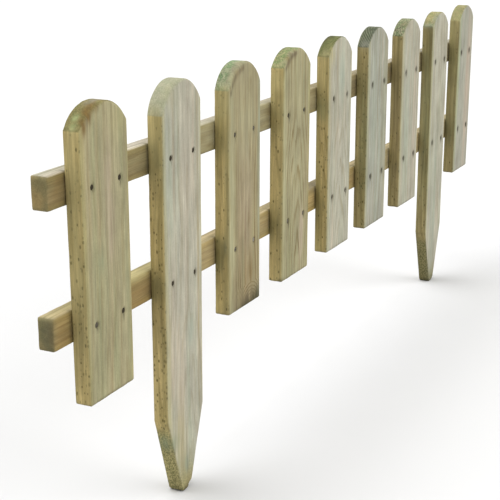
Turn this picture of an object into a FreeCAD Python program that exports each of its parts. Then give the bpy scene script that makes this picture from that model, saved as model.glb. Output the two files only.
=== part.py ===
# Low garden picket fence panel in millimetres: nine round-topped pickets nailed to two rails.
# The second picket from each end is a longer stake that tapers below the ground line.
#
# Frame: +X runs along the panel, left to right as seen from the front, +Y runs from the front face
# of the pickets towards the rails behind them, +Z is up. The origin is the middle of the flat tip of
# the left-hand stake, so the feet of the plain pickets are stake_drop above it.

import FreeCAD, Part
import os

import Sketcher

PARTS_FOLDER = "parts"

# Driving dimensions: alias, value in millimetres (or a plain count), and what it is.
SIZES = (
    ("picket_count", 9, "pickets in the panel, stakes included"),
    ("stake_inset", 1, "pickets between each end of the panel and its stake"),
    ("picket_width", 72, "face width of every picket"),
    ("picket_thickness", 16, "front to back"),
    ("picket_gap", 56, "clear gap between two pickets"),
    ("picket_height", 255, "foot to crown of a picket"),
    ("crown_rise", 21, "height of the rounded crown above its spring line"),
    ("stake_drop", 150, "how far a stake reaches below the feet of the pickets"),
    ("taper_length", 83, "length of the tapered point of a stake"),
    ("tip_width", 17, "width of the flat tip of a stake"),
    ("rail_height", 28, "rail section, upright side"),
    ("rail_depth", 16, "rail section, front to back"),
    ("rail_overhang", 25, "rail beyond the outer edge of the end picket"),
    ("lower_rail_level", 68, "centre of the lower rail above the feet of the pickets"),
    ("rail_spacing", 118, "centre to centre of the two rails"),
    ("arris_radius", 1, "rounding along every edge of the planed timber"),
    ("nail_inset", 15, "nail centre from the side of its picket"),
    ("nail_sink", 0.6, "depth of the nail head below the face of the picket"),
    ("nail_head_diameter", 4.5, "round flat head"),
    ("nail_head_thickness", 1, "flat head"),
    ("nail_shank_diameter", 2.2, "round shank, and the hole that it fills"),
    ("nail_length", 28, "from the top of the head to the point"),
    ("nail_point_length", 3, "tapered point"),
    ("nail_point_diameter", 0.5, "blunt end of the point"),
)


def make_sheet(doc):
    """The spreadsheet that holds every driving dimension."""
    sheet = doc.addObject("Spreadsheet::Sheet", "Sizes")
    for row, (alias, value, meaning) in enumerate(SIZES, start=1):
        sheet.set(f"A{row}", alias)
        sheet.set(f"B{row}", str(value))
        sheet.set(f"C{row}", meaning)
        sheet.setAlias(f"B{row}", alias)
    doc.recompute()
    return sheet


def cell(formula):
    """A formula in the sheet's aliases, written out for setExpression."""
    words = []
    for word in formula.replace("(", " ( ").replace(")", " ) ").split():
        words.append(f"Sizes.{word}" if word[0].isalpha() else word)
    return " ".join(words)


def bind(thing, **formulas):
    """Binds properties of an object to formulas in the sheet's aliases."""
    for name, formula in formulas.items():
        thing.setExpression(name, cell(formula))


def place(body, x="0", y="0", z="0"):
    """Binds the place of a body."""
    for axis, formula in zip("xyz", (x, y, z)):
        body.setExpression(f".Placement.Base.{axis}", cell(formula))


def new_body(doc, label):
    """An empty body that will become one node."""
    body = doc.addObject("PartDesign::Body", label)
    body.Label = label
    return body


def plane(body, role):
    """One of a body's own origin planes or axes."""
    return next(f for f in body.Origin.OriginFeatures if f.Role == role)


def new_sketch(body, name, role, offset=None):
    """A sketch on an origin plane of the body, moved along the plane's normal by a bound offset."""
    sketch = body.newObject("Sketcher::SketchObject", name)
    sketch.AttachmentSupport = [(plane(body, role), "")]
    sketch.MapMode = "FlatFace"
    if offset:
        sketch.setExpression(".AttachmentOffset.Base.z", cell(offset))
    return sketch


def size_constraint(sketch, kind, *where, formula):
    """A dimension of a sketch, bound to a formula."""
    index = sketch.addConstraint(Sketcher.Constraint(kind, *where, 1.0))
    sketch.setExpression(f"Constraints[{index}]", cell(formula))


def outline_sketch(sketch, points, closing_arc=None):
    """A closed outline through points, each (x, y, x formula, y formula), with every point bound.

    closing_arc, when given, is a point (x, y, y formula) on the centre line that an arc from the
    last point back to the first passes through.
    """
    count = len(points)
    sides = count - 1 if closing_arc else count
    for index in range(sides):
        x0, y0 = points[index][:2]
        x1, y1 = points[(index + 1) % count][:2]
        line = Part.LineSegment(FreeCAD.Vector(x0, y0), FreeCAD.Vector(x1, y1))
        sketch.addGeometry(line)
    for index in range(sides - 1):
        sketch.addConstraint(Sketcher.Constraint("Coincident", index, 2, index + 1, 1))
    if closing_arc:
        crown_x, crown_y, crown_formula = closing_arc
        arc = Part.Arc(
            FreeCAD.Vector(*points[0][:2]),
            FreeCAD.Vector(crown_x, crown_y),
            FreeCAD.Vector(*points[-1][:2]),
        )
        arc_index = sketch.addGeometry(arc)
        sketch.addConstraint(Sketcher.Constraint("Coincident", arc_index, 1, 0, 1))
        sketch.addConstraint(Sketcher.Constraint("Coincident", sides - 1, 2, arc_index, 2))
        crown = sketch.addGeometry(Part.Point(FreeCAD.Vector(crown_x, crown_y)), True)
        sketch.addConstraint(Sketcher.Constraint("PointOnObject", crown, 1, arc_index))
        sketch.addConstraint(Sketcher.Constraint("PointOnObject", crown, 1, -2))
        size_constraint(sketch, "DistanceY", -1, 1, crown, 1, formula=crown_formula)
    else:
        sketch.addConstraint(Sketcher.Constraint("Coincident", sides - 1, 2, 0, 1))
    for index, (_, _, x_formula, y_formula) in enumerate(points):
        corner = (index, 1) if index < sides else (sides - 1, 2)
        pin_corner(sketch, corner, "DistanceX", x_formula, axis=-2)
        pin_corner(sketch, corner, "DistanceY", y_formula, axis=-1)


def pin_corner(sketch, corner, kind, formula, axis):
    """Pins one coordinate of a corner to a formula, or to the sketch's own axis where it is zero."""
    if formula == "0":
        sketch.addConstraint(Sketcher.Constraint("PointOnObject", *corner, axis))
    elif formula.startswith("minus "):
        size_constraint(sketch, kind, *corner, -1, 1, formula=formula[len("minus "):])
    else:
        size_constraint(sketch, kind, -1, 1, *corner, formula=formula)


def circle_sketch(sketch, centres, diameter):
    """Circles of one diameter at bound centres, each (x, y, x formula, y formula)."""
    for x, y, x_formula, y_formula in centres:
        circle = sketch.addGeometry(Part.Circle(FreeCAD.Vector(x, y), FreeCAD.Vector(0, 0, 1), 1))
        size_constraint(sketch, "Diameter", circle, formula=diameter)
        pin_corner(sketch, (circle, 3), "DistanceX", x_formula, axis=-2)
        pin_corner(sketch, (circle, 3), "DistanceY", y_formula, axis=-1)


def pad(body, sketch, length):
    """Extrudes a sketch equally to both sides of its plane."""
    feature = body.newObject("PartDesign::Pad", sketch.Name + "Pad")
    feature.Profile = sketch
    feature.SideType = "Symmetric"
    bind(feature, Length=length)
    sketch.Visibility = False
    return feature


def round_arrises(doc, body, feature):
    """Rounds every edge of the board."""
    doc.recompute()
    fillet = body.newObject("PartDesign::Fillet", body.Name + "Arrises")
    fillet.Base = (feature, [""])
    fillet.UseAllEdges = True
    bind(fillet, Radius="arris_radius")
    doc.recompute()
    return fillet


def pocket(doc, body, sketch, depth):
    """Cuts a sketch into the board behind it, and makes sure that it took something away."""
    before = body.Shape.Volume
    feature = body.newObject("PartDesign::Pocket", sketch.Name + "Pocket")
    feature.Profile = sketch
    bind(feature, Length=depth)
    sketch.Visibility = False
    doc.recompute()
    if not body.Shape.Volume < before:
        raise RuntimeError(f"{feature.Name} cut nothing")
    return feature


def picket_outline(size):
    """Corners of a plain picket with its foot on z = 0, from the right spring line round the foot."""
    half, spring = size.picket_width / 2, size.picket_height - size.crown_rise
    spring_formula = "picket_height - crown_rise"
    return (
        (half, spring, "picket_width / 2", spring_formula),
        (half, 0, "picket_width / 2", "0"),
        (-half, 0, "minus picket_width / 2", "0"),
        (-half, spring, "minus picket_width / 2", spring_formula),
    )


def stake_outline(size):
    """Corners of a stake, which runs on below the feet of the pickets to a flat tip."""
    right_spring, _, _, left_spring = picket_outline(size)
    half, half_tip = size.picket_width / 2, size.tip_width / 2
    shoulder = size.taper_length - size.stake_drop
    return (
        right_spring,
        (half, shoulder, "picket_width / 2", "minus stake_drop - taper_length"),
        (half_tip, -size.stake_drop, "tip_width / 2", "minus stake_drop"),
        (-half_tip, -size.stake_drop, "minus tip_width / 2", "minus stake_drop"),
        (-half, shoulder, "minus picket_width / 2", "minus stake_drop - taper_length"),
        left_spring,
    )


def picket_nail_centres(size):
    """Where the four nails of a picket go through its face."""
    across = size.picket_width / 2 - size.nail_inset
    across_formula = "picket_width / 2 - nail_inset"
    upper = size.lower_rail_level + size.rail_spacing
    levels = (
        (size.lower_rail_level, "lower_rail_level"),
        (upper, "lower_rail_level + rail_spacing"),
    )
    centres = []
    for level, level_formula in levels:
        centres.append((-across, level, "minus " + across_formula, level_formula))
        centres.append((across, level, across_formula, level_formula))
    return centres


def picket_place(number):
    """Formula for the centre line of a picket, counted from 0 at the left."""
    return f"( {number} - stake_inset ) * ( picket_width + picket_gap )"


def make_picket(doc, size, number, is_stake):
    """One picket or stake: a board with a rounded crown, bored for its four nails."""
    label = f"stake_{number + 1}" if is_stake else f"picket_{number + 1}"
    body = new_body(doc, label)
    outline = new_sketch(body, label + "_outline", "XZ_Plane")
    corners = stake_outline(size) if is_stake else picket_outline(size)
    outline_sketch(outline, corners, closing_arc=(0, size.picket_height, "picket_height"))
    round_arrises(doc, body, pad(body, outline, "picket_thickness"))

    centres = picket_nail_centres(size)
    heads = new_sketch(body, label + "_nail_heads", "XZ_Plane", offset="picket_thickness / 2")
    circle_sketch(heads, centres, "nail_head_diameter")
    pocket(doc, body, heads, "nail_sink + nail_head_thickness")
    shanks = new_sketch(body, label + "_nail_shanks", "XZ_Plane", offset="picket_thickness / 2")
    circle_sketch(shanks, centres, "nail_shank_diameter")
    pocket(doc, body, shanks, "picket_thickness")
    place(body, x=picket_place(number), z="stake_drop")
    return body


def make_nails(doc, size, number):
    """The four nails of one picket, turned about the first one and copied along and up."""
    label = f"nails_{number + 1}"
    body = new_body(doc, label)
    body.AllowCompound = True
    profile = new_sketch(body, label + "_profile", "XY_Plane")
    head, shank = size.nail_head_diameter / 2, size.nail_shank_diameter / 2
    point = size.nail_point_diameter / 2
    neck = size.nail_head_thickness
    end = size.nail_length
    outline_sketch(
        profile,
        (
            (0, 0, "0", "0"),
            (head, 0, "nail_head_diameter / 2", "0"),
            (head, neck, "nail_head_diameter / 2", "nail_head_thickness"),
            (shank, neck, "nail_shank_diameter / 2", "nail_head_thickness"),
            (
                shank,
                end - size.nail_point_length,
                "nail_shank_diameter / 2",
                "nail_length - nail_point_length",
            ),
            (point, end, "nail_point_diameter / 2", "nail_length"),
            (0, end, "0", "nail_length"),
        ),
    )
    turned = body.newObject("PartDesign::Revolution", label + "_turned")
    turned.Profile = profile
    turned.ReferenceAxis = (profile, ["V_Axis"])
    turned.Angle = 360
    profile.Visibility = False
    doc.recompute()

    copies = body.newObject("PartDesign::MultiTransform", label + "_copies")
    copies.Originals = [turned]
    along = body.newObject("PartDesign::LinearPattern", label + "_along")
    along.Direction = (plane(body, "X_Axis"), [""])
    along.Occurrences = 2
    bind(along, Length="picket_width - 2 * nail_inset")
    upward = body.newObject("PartDesign::LinearPattern", label + "_upward")
    upward.Direction = (plane(body, "Z_Axis"), [""])
    upward.Occurrences = 2
    bind(upward, Length="rail_spacing")
    copies.Transformations = [along, upward]
    body.Tip = copies
    place(
        body,
        x=picket_place(number) + " - ( picket_width / 2 - nail_inset )",
        y="nail_sink - picket_thickness / 2",
        z="stake_drop + lower_rail_level",
    )
    return body


def make_rail(doc, size, label, level):
    """One rail behind the pickets, with the holes that the nails fill."""
    body = new_body(doc, label)
    half_height, depth = size.rail_height / 2, size.rail_depth
    section = new_sketch(body, label + "_section", "YZ_Plane")
    outline_sketch(
        section,
        (
            (0, half_height, "0", "rail_height / 2"),
            (depth, half_height, "rail_depth", "rail_height / 2"),
            (depth, -half_height, "rail_depth", "minus rail_height / 2"),
            (0, -half_height, "0", "minus rail_height / 2"),
        ),
    )
    span = "( picket_count - 1 ) * ( picket_width + picket_gap )"
    board = pad(body, section, span + " + picket_width + 2 * rail_overhang")
    round_arrises(doc, body, board)

    pitch = size.picket_width + size.picket_gap
    first = (size.picket_count - 1) * pitch / 2
    across = size.picket_width / 2 - size.nail_inset
    across_formula = "( picket_width / 2 - nail_inset )"
    half_span = span + " / 2"
    holes = new_sketch(body, label + "_nail_holes", "XZ_Plane")
    circle_sketch(
        holes,
        (
            (-first - across, 0, f"minus {half_span} + {across_formula}", "0"),
            (-first + across, 0, f"minus {half_span} - {across_formula}", "0"),
        ),
        "nail_shank_diameter",
    )
    bored = pocket(doc, body, holes, "nail_sink + nail_length - picket_thickness")
    row = body.newObject("PartDesign::LinearPattern", label + "_nail_rows")
    row.Originals = [bored]
    row.Direction = (plane(body, "X_Axis"), [""])
    bind(row, Length=span, Occurrences="picket_count")
    body.Tip = row
    place(
        body,
        x=half_span + " - stake_inset * ( picket_width + picket_gap )",
        y="picket_thickness / 2",
        z=f"stake_drop + {level}",
    )
    return body


def check_document(doc):
    """Stops on any object that failed without raising."""
    for thing in doc.Objects:
        if "Invalid" in thing.State or "Error" in thing.State:
            raise RuntimeError(f"{thing.Name} failed: {thing.State}")


def export(bodies):
    """Writes each sub-part to its own file, after checking its shape."""
    os.makedirs(PARTS_FOLDER, exist_ok=True)
    for body in bodies:
        if body.Shape.isNull() or not body.Shape.isValid():
            raise RuntimeError(f"{body.Label} has no valid shape")
        body.Shape.exportStep(os.path.join(PARTS_FOLDER, body.Label + ".step"))
        solids = len(body.Shape.Solids)
        print(f"{body.Label}: {solids} solid(s), {body.Shape.Volume:.1f} mm3")


def main():
    doc = FreeCAD.newDocument("PicketFencePanel")
    size = make_sheet(doc)
    bodies = []
    for number in range(size.picket_count):
        from_end = min(number, size.picket_count - 1 - number)
        bodies.append(make_picket(doc, size, number, is_stake=from_end == size.stake_inset))
        bodies.append(make_nails(doc, size, number))
    bodies.append(make_rail(doc, size, "lower_rail", "lower_rail_level"))
    bodies.append(make_rail(doc, size, "upper_rail", "( lower_rail_level + rail_spacing )"))
    doc.recompute()
    check_document(doc)
    export(bodies)
    return doc


main()
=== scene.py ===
# Looks of the low picket fence panel: green-treated softwood boards, brown rails and sunk nails.
# Everything is in metres in the row frame. Each board is modelled again in full detail, with eased
# arrises, crushed dents round the nails and worn tips, on the sizes of its plain solid.

import math
from types import SimpleNamespace

import bpy
import numpy as np
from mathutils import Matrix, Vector


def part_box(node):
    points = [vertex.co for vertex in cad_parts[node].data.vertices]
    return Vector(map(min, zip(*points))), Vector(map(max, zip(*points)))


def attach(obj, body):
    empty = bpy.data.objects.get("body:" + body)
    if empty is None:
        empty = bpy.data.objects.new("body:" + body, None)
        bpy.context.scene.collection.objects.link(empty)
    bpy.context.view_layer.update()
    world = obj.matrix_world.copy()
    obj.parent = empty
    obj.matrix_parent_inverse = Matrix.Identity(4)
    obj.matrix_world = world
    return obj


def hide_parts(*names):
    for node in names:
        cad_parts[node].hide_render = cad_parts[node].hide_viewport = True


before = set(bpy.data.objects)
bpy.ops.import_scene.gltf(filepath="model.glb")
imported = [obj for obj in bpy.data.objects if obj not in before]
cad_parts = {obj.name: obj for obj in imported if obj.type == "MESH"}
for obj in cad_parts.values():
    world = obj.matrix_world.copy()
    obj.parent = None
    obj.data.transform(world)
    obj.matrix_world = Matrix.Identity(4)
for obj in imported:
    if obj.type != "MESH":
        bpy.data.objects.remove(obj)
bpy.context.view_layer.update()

MM = 0.001

# The photo's view, from a camera fitted to the corners of the boards.
CAMERA_PLACE = (-0.9536, -0.5454, 0.5579)
CAMERA_AZIMUTH = -63.82
CAMERA_ELEVATION = 15.98
CAMERA_LENS = 87.6

# Sizes that the boxes of the nodes don't give.
TAPER_LENGTH = 83 * MM
TIP_WIDTH = 17 * MM
NAIL_INSET = 15 * MM
NAIL_HEAD_RADIUS = 2.25 * MM
NAIL_SHANK_RADIUS = 1.1 * MM

# Mesh steps of a board, the fine ones round its nails and arrises, and how far out they go on.
STEP_ALONG = 2.2 * MM
STEP_ACROSS = 1.7 * MM
STEP_FINE = 0.7 * MM
STEP_RIM = 1.1 * MM
FINE_ACROSS = 4.5 * MM
FINE_ALONG = 5 * MM
ARRIS_RADIUS = 1.5 * MM
ARRIS_STEPS = 4

# Relief of the timber along the surface's own normal, each with the period of its noise.
PLANED_WAVE = 0.12 * MM
PLANED_PERIOD = (14 * MM, 14 * MM, 70 * MM)
SAWN_ROUGHNESS = 0.12 * MM
SAWN_PERIOD = (1.6 * MM, 2.4 * MM, 1.6 * MM)
ARRIS_WEAR = 0.3 * MM
KNOCK_PERIOD = (6 * MM, 6 * MM, 11 * MM)
CROWN_WEAR = 0.7 * MM

# How far round its corner the tip of a stake is worn.
TIP_WEAR_REACH = 8 * MM

# A nail's dent: its depth, how far past the head it is flat, and the width of its slope.
NAIL_DENT = 1.1 * MM
DENT_SPARE = 0.1 * MM
DENT_SLOPE = 1.2 * MM

# A crown's front edge is sanded from just under its spring line, and less on the right half.
SANDED_FROM = (-4 * MM, 12 * MM)
SANDED_UNTIL = (-10 * MM, 10 * MM)
SANDED_LESS = 0.85

# The top of each rail stands a touch higher than nominal.
RAIL_SPARE = 0.8 * MM

# Nails: points round a ring, the shank's grooves, and how askew and uneven the heads are.
NAIL_SEGMENTS = 20
NAIL_GROOVES = 12
GROOVE_START = 4 * MM
GROOVE_PITCH = 1.5 * MM
GROOVE_DEPTH = 0.15 * MM
NAIL_TILT = 0.06
HEAD_UNEVENNESS = 0.12 * MM

# Iron stains: the streak that runs down from a head, and the dark ring round it.
STREAK_LENGTHS = (5 * MM, 12 * MM)
STREAK_WIDTH = 1.3 * MM
STREAK_SHIFT = 0.8 * MM
STAIN_LEAST = 0.75
RING_INSIDE = 0.4 * MM
RING_OUTSIDE = 0.8 * MM

# The ragged edges of the other stains and of the painted light and shade, as periods of their noise.
RAGGED_COARSE = (4 * MM, 4 * MM, 18 * MM)
RAGGED_FINE = (1.6 * MM, 4 * MM, 9 * MM)

# Timber tones, as linear colours.
STRAW = (0.372, 0.336, 0.197)
TAN = (0.36, 0.30, 0.17)
SILVER = (0.464, 0.444, 0.345)
GREY_GREEN = (0.40, 0.394, 0.318)
OLIVE = (0.53, 0.43, 0.178)
DARK_OLIVE = (0.38, 0.315, 0.137)
BROWN = (0.275, 0.22, 0.105)
ORANGE = (0.41, 0.305, 0.13)
# CREAM and BUTTER are the rails' tops: paler partly by their own tone, partly by painted light from
# above.
CREAM = (0.52, 0.485, 0.37)
BUTTER = (0.50, 0.42, 0.235)
HONEY = (0.205, 0.18, 0.072)
CHESTNUT = (0.23, 0.155, 0.06)
FERN = (0.125, 0.13, 0.048)
MOSS = (0.27, 0.285, 0.14)
SAGE = (0.29, 0.335, 0.20)
PALE_GREEN = (0.41, 0.405, 0.275)
YELLOW_GREEN = (0.31, 0.285, 0.14)
TEAL = (0.09, 0.098, 0.06)
SLATE = (0.235, 0.245, 0.148)
SPECKLED = (0.44, 0.385, 0.17)
SPECKLED_DARK = (0.27, 0.235, 0.105)
RUST = (0.19, 0.12, 0.038)
FRESH_GREEN = (0.40, 0.46, 0.21)
DRAB = (0.27, 0.235, 0.165)
BLUE_GREEN = (0.33, 0.39, 0.31)
PALE_STRAW = (0.45, 0.425, 0.25)
# Painted shade on a picket's sides beside the rails, where each rail cuts off light from above and
# behind.
RAIL_SHADE_TONE = (0.15, 0.15, 0.07)
UMBER = (0.17, 0.135, 0.075)
DIRT = (0.085, 0.075, 0.035)
PINK = (0.50, 0.40, 0.30)
YELLOW = (0.52, 0.46, 0.22)
IRON = (0.022, 0.017, 0.008)
BROWNED_IRON = (0.04, 0.031, 0.018)
# A painted glint on a nail head.
GLINT_ON_IRON = (0.54, 0.50, 0.41)
IRON_STAIN = (0.06, 0.055, 0.03)

# Factors for red, green and blue that turn a board's tone into a lighter, darker or warmer one.
PALE_BAND = (0.93, 0.985, 0.95)
WARM_BAND = (1.06, 1.0, 0.98)
LATE_FACE = (0.58, 0.49, 0.34)
YELLOW_ARRIS = (1.04, 1.02, 0.74)
LIGHT_SIDE = (1.1, 1.07, 1.12)
DARK_SIDE = (0.84, 0.86, 0.84)
LATE_SIDE = (0.55, 0.52, 0.42)
CUT_SIDE = (0.24, 0.25, 0.18)
LATE_END = (0.4, 0.42, 0.36)
SAWN_END = (2.3, 2.3, 2.4)
DARK_RAIL_END = (0.9, 1.0, 1.0)
LIGHT_RAIL_END = (1.2, 1.2, 1.15)
LIGHT_GRIT = (1.35, 1.35, 1.4)
DARK_GRIT = (0.5, 0.55, 0.48)

# How strong a painted glint is on the heads of some nails: lower left, upper left, lower right, upper
# right.
GLINTING_HEADS = {
    "nails_1": (0.18, 0, 0, 0),
    "nails_3": (0.25, 0.12, 0.6, 0.25),
    "nails_4": (0.25, 0, 0.2, 0.15),
    "nails_5": (0.15, 0, 0, 0.15),
    "nails_6": (0, 0.15, 0, 0.15),
    "nails_7": (0, 0.15, 0, 0),
}

# Textures of timber and steel: a factor along the grain, which draws it out where under 1, then
# the period, the detail and the roughness.
TEXTURES = {
    "drift": (0.25, 30 * MM, 1.0, 0.5),
    "uneven": (0.05, 6 * MM, 2.0, 0.5),
    "weight": (0.2, 9 * MM, 1.0, 0.5),
    "broad": (0.05, 11 * MM, 1.5, 0.5),
    "medium": (0.04, 3.4 * MM, 3.0, 0.65),
    "fibre": (0.03, 0.9 * MM, 2.0, 0.6),
    "cloud": (0.5, 22 * MM, 3.0, 0.6),
    "fine": (1, 1.5 * MM, 3.0, 0.7),
    "soaked": (1, 5 * MM, 2.0, 0.6),
    "grit": (0.6, 1.3 * MM, 2.0, 0.6),
    "patch": (1, 1.2 * MM, 3.0, 0.6),
}

# How far apart two boards lie in the noise, how far the grain drifts, and how uneven rings are.
BOARDS_APART = 0.7
GRAIN_DRIFT = 5 * MM
RING_UNEVENNESS = 1.3

# Cells with one cut each on a sawn side, and the heights between which cuts grow thicker.
CUT_DEEP = 2.6 * MM
CUT_TALL = 5.0 * MM
CUTS_THIN_OUT = (0.26, 0.08)

# End grain: narrow rings to one ring, and the pitch of the saw's lines.
NARROW_RINGS = 2.3
SAW_PITCH = 1.5 * MM

# Heights between which a crown's look turns into a foot's, and a stake's soiled tip ends.
CROWN_TO_FOOT = (0.15, 0.1)
SOILED_FACE = (26 * MM, -10 * MM)
SOILED_SIDE = (50 * MM, 64 * MM)

# The floor lies just under the tips. It sends less light back up than it shows.
FLOOR_REACH = 40
FLOOR_LEVEL = -0.3 * MM
FLOOR_SEEN = (0.78, 0.78, 0.78)
FLOOR_BOUNCE = (0.45, 0.45, 0.45)

# How bright the sky shines and looks, and each lamp's name, direction, strength and angle.
SKY_LIGHT = 0.55
SKY_SEEN = 1.0
LAMPS = (
    ("top_light", (-0.15, 0.35, 1.0), 2.0, 50),
    ("front_light", (0.35, -1.0, 0.55), 1.6, 60),
)

PICKETS = [name for name in sorted(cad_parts) if name.startswith(("picket_", "stake_"))]
RAILS = ("lower_rail", "upper_rail")

# Places on a board in millimetres: its front, a picket's left side, a rail's top, the rails'
# levels on a picket, and how much further down a stake reaches.
FRONT = -8
LEFT = -36
TOP = 14
LOWER_LEVEL = 68
UPPER_LEVEL = 186
STAKE_DROP = 150


def on_face(across, along, wide, tall, tone, strength, deep=5):
    """A patch on the front face of a board: mostly a stain, and in a rail's corners dirt with painted
    shade.
    """
    return (across, FRONT, along), (wide, deep, tall), tone, strength


def on_side(along, tall, tone, strength):
    """A patch on the left side of a picket: mostly a stain, though the yellow one just above the upper
    rail is painted light.
    """
    return (LEFT, 0, along), (3, 9, tall), tone, strength


def on_top(along, tall, tone, strength):
    """A stain on the top of a rail."""
    return (TOP, 0, along), (5, 12, tall), tone, strength


# How each board looks. Lengths are in millimetres.
# face, side, end, foot: tones of its faces, its long sides, its crown and its foot.
# pith, rings: the middle of the log, across and behind the board's, and the width of the rings.
# arch: the heights between which the face cuts down through the rings, and how fast.
# contrast, hatch: how strong the rings show on the faces and on the crown.
# mottle, specks: how blotched the ends are, and the share of dark cuts on the sides.
# damp, iron: how dark the painted shade on the sides beside the rails is, and the stains round the
# nails.
# saw: how strong the saw's lines show on the crown, and their slope.
# crown: how high its left and its right half rise above their spring line.
# ease, crack: the radius that the crown's front edge is sanded to, and how far below it a dark
# line runs along the left half, or 0 for none.
# slim: how much narrower the foot is.
# lean: how far the foot and the crown stand to the right of true, and the board above it.
# uneven, tip: how much shorter a stake's right-hand taper is, and how far that corner is worn.
# patches: stains, and a few patches of painted light and shade, each with its place and its reach
# (across, depth, along), tone and strength.
PLAIN = dict(foot=BROWN, slim=0, crack=0, saw=(0.1, 0.9))
LOOKS = {}


def set_look(name, own, patches):
    """Keeps a board's own looks, over those that it shares with the others."""
    LOOKS[name] = {**PLAIN, **own, "patches": patches}


set_look("picket_1", dict(
    face=STRAW, side=OLIVE, end=HONEY, crown=(20, 20), ease=5, slim=2.5,
    pith=(46, 60), arch=(0, 90, 0.06), rings=5.5, contrast=0.34, hatch=0.15, mottle=0.3,
    specks=0.52, damp=0.3, iron=0.8, lean=(0, -1.7, -1.2),
), (
    ((-29, -7, 238), (3, 4, 8), RUST, 0.85), ((-21, -6, 246), (4, 4, 7), RUST, 0.9),
    ((-13, -5, 251), (7, 4, 4), RUST, 0.9), ((0, 0, 254), (12, 4, 3), DRAB, 0.8),
    ((-34, -1, 239), (3, 3, 5), FRESH_GREEN, 0.5), ((-29, 0, 245), (4, 3, 4), FRESH_GREEN, 0.55),
    on_face(4, 170, 7, 50, PINK, 0.4), on_face(-12, 122, 4, 10, SAGE, 0.5),
    # The yellow patch on the left side at the upper rail's top is painted light, bounced up off the
    # rail.
    on_face(22, 240, 14, 16, YELLOW, 0.25), on_side(200, 40, YELLOW, 0.4),
    on_side(95, 60, YELLOW_GREEN, 0.4),
))
set_look("stake_2", dict(
    face=SILVER, side=OLIVE, end=PALE_GREEN, foot=SPECKLED, crown=(29, 22), ease=6, slim=3.5,
    pith=(11, 24), arch=(0, 190, 0.13), rings=6.0, contrast=0.32, hatch=0.05, mottle=0.12,
    saw=(0, 0.9), specks=0.68, damp=0.6, iron=0.55,
    lean=(-1.2, 0.3, 0), uneven=3, tip=(-3.6, 4.2),
), (
    on_face(-28, 330, 7, 60, BLUE_GREEN, 0.3), on_face(10, 330, 12, 70, PINK, 0.25),
    ((-22, -6, 394), (10, 4, 12), PALE_STRAW, 0.4), on_face(12, 165, 7, 16, BLUE_GREEN, 0.45),
    on_face(-14, 120, 12, 60, PINK, 0.3), on_face(-32, 130, 4, 120, YELLOW, 0.35),
    on_face(-12, 50, 10, 40, YELLOW, 0.35), on_face(28, 240, 1.6, 170, TAN, 0.7),
    # The yellow patch on the left side at the upper rail's top is painted light, bounced up off the
    # rail.
    on_face(0, 27, 4, 8, BLUE_GREEN, 0.7), on_side(365, 40, YELLOW, 0.4),
    ((-25, 0, 58), (10, 9, 8), SAGE, 0.7), on_face(-2, 14, 10, 26, SPECKLED_DARK, 0.35, 8),
    on_face(8, 6, 8, 9, BROWN, 0.6, 8), on_face(2, 1, 14, 4, DIRT, 0.5, 8),
))
set_look("picket_3", dict(
    face=TAN, side=OLIVE, end=SAGE, crown=(25, 23), ease=6,
    pith=(13, 15), arch=(0, 24, 0.75), rings=2.8, contrast=1.0, hatch=0.15, mottle=0.6,
    specks=0.22, damp=0.58, iron=0.62, crack=6, lean=(-1, 0.5, 1.2),
), (
    ((-20, -6, 248), (24, 4, 14), DRAB, 0.95), on_face(-17, 245, 5, 5, BROWN, 0.9, 2),
    on_face(-25, 236, 4, 7, BROWN, 0.8, 2), on_face(-29, 120, 6, 190, PALE_STRAW, 0.85),
    on_face(12, 37, 7, 14, RUST, 0.5), on_face(6, 215, 28, 75, STRAW, 0.8),
    on_face(0, 110, 14, 50, PINK, 0.3), on_face(8, 3, 30, 13, UMBER, 0.75, 9),
    on_face(30, -2, 12, 13, DIRT, 1, 9), on_face(10, -2, 26, 6, DIRT, 1, 9),
    # The yellow patch on the left side at the upper rail's top is painted light, bounced up off the
    # rail.
    on_face(33, 150, 3, 110, BLUE_GREEN, 0.45), on_side(215, 25, YELLOW, 0.45),
))
set_look("picket_4", dict(
    face=STRAW, side=OLIVE, end=MOSS, crown=(18, 21), ease=4,
    pith=(3, 20), arch=(20, 180, 0.11), rings=4.2, contrast=0.85, hatch=0.15, mottle=0.6,
    specks=0.3, damp=0.6, iron=0.95, crack=5, lean=(-1.5, 1.5, 1.0),
), (
    ((-16, -7, 250), (9, 3, 3), DRAB, 0.6), ((-25, -7, 243), (4, 3, 7), CHESTNUT, 0.6),
    on_face(-17, 238, 1.4, 14, BROWN, 0.9, 3), on_face(-8, 240, 1.4, 18, BROWN, 0.9, 3),
    on_face(3, 232, 1.4, 26, BROWN, 0.6, 3), on_face(13, 232, 1.6, 26, BROWN, 0.85, 3),
    on_face(22, 225, 1.4, 20, BROWN, 0.5, 3), on_face(4, 220, 28, 34, PALE_STRAW, 0.3),
    ((0, 8, 254), (26, 3, 5), DIRT, 0.5), on_face(-31, 120, 4, 190, PALE_STRAW, 0.8),
    on_face(-5, 110, 3, 70, PALE_STRAW, 0.4), on_face(16, 45, 5, 30, PINK, 0.6),
    ((-35, -7, 1), (5, 4, 3), DIRT, 0.6), ((LEFT, -2, 208), (3, 5, 6), RUST, 0.5),
    # The yellow patch on the left side at the upper rail's top is painted light, bounced up off the
    # rail.
    on_side(215, 25, YELLOW, 0.45),
))
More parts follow.
